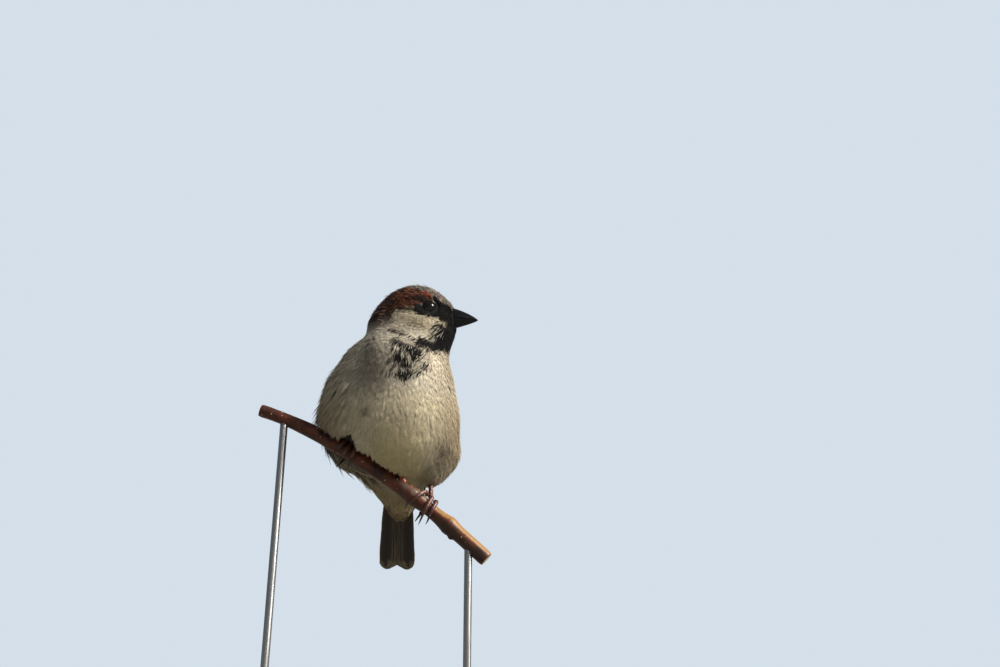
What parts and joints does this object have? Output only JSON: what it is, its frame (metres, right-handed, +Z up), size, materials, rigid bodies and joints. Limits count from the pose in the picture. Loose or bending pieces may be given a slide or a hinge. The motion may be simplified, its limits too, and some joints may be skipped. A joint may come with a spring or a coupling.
{
  "type": "male house sparrow",
  "caption": "Life-size still male house sparrow gripping a short sloping twig with its head turned to its left, on a plain round stand.",
  "frame": {"origin": "middle of the underside of the stand's round base", "axes": "+Z up; the bird's breast faces -Y and its tail points to +Y; its left side and the head's bill are towards +X"},
  "size_m": [0.12, 0.12, 0.2263],
  "materials": {
    "head_feathers": "soft feathers, chestnut, grey, black and off-white",
    "breast_feathers": "soft feathers, warm light grey with a black bib",
    "wing_feathers": "flight feathers, dark brown with buff edges",
    "tail_feathers": "flight feathers, dark brown with paler edges",
    "bill": "glossy black horn",
    "claw": "dark horn",
    "eye": "wet dark brown",
    "leg": "scaled skin, pinkish brown",
    "bark": "smooth young bark, reddish brown with pale spots",
    "stand_wood": "dark stained, satin",
    "stand_steel": "brushed"
  },
  "bodies": {
    "root": {"head": "head_feathers", "neck": "breast_feathers", "trunk": "breast_feathers", "tail": "tail_feathers", "bill_upper": "bill", "bill_lower": "bill", "eye_left": "eye", "wing_left": "wing_feathers", "thigh_left": "breast_feathers", "tarsus_left": "leg", "toe_inner_left": "leg", "claw_inner_left": "claw", "toe_middle_left": "leg", "claw_middle_left": "claw", "toe_outer_left": "leg", "claw_outer_left": "claw", "toe_hind_left": "leg", "claw_hind_left": "claw", "eye_right": "eye", "wing_right": "wing_feathers", "thigh_right": "breast_feathers", "tarsus_right": "leg", "toe_inner_right": "leg", "claw_inner_right": "claw", "toe_middle_right": "leg", "claw_middle_right": "claw", "toe_outer_right": "leg", "claw_outer_right": "claw", "toe_hind_right": "leg", "claw_hind_right": "claw", "perch": "bark", "stand_base": "stand_wood", "stand_rod_right": "stand_steel", "stand_rod_left": "stand_steel"}
  },
  "joints": []
}
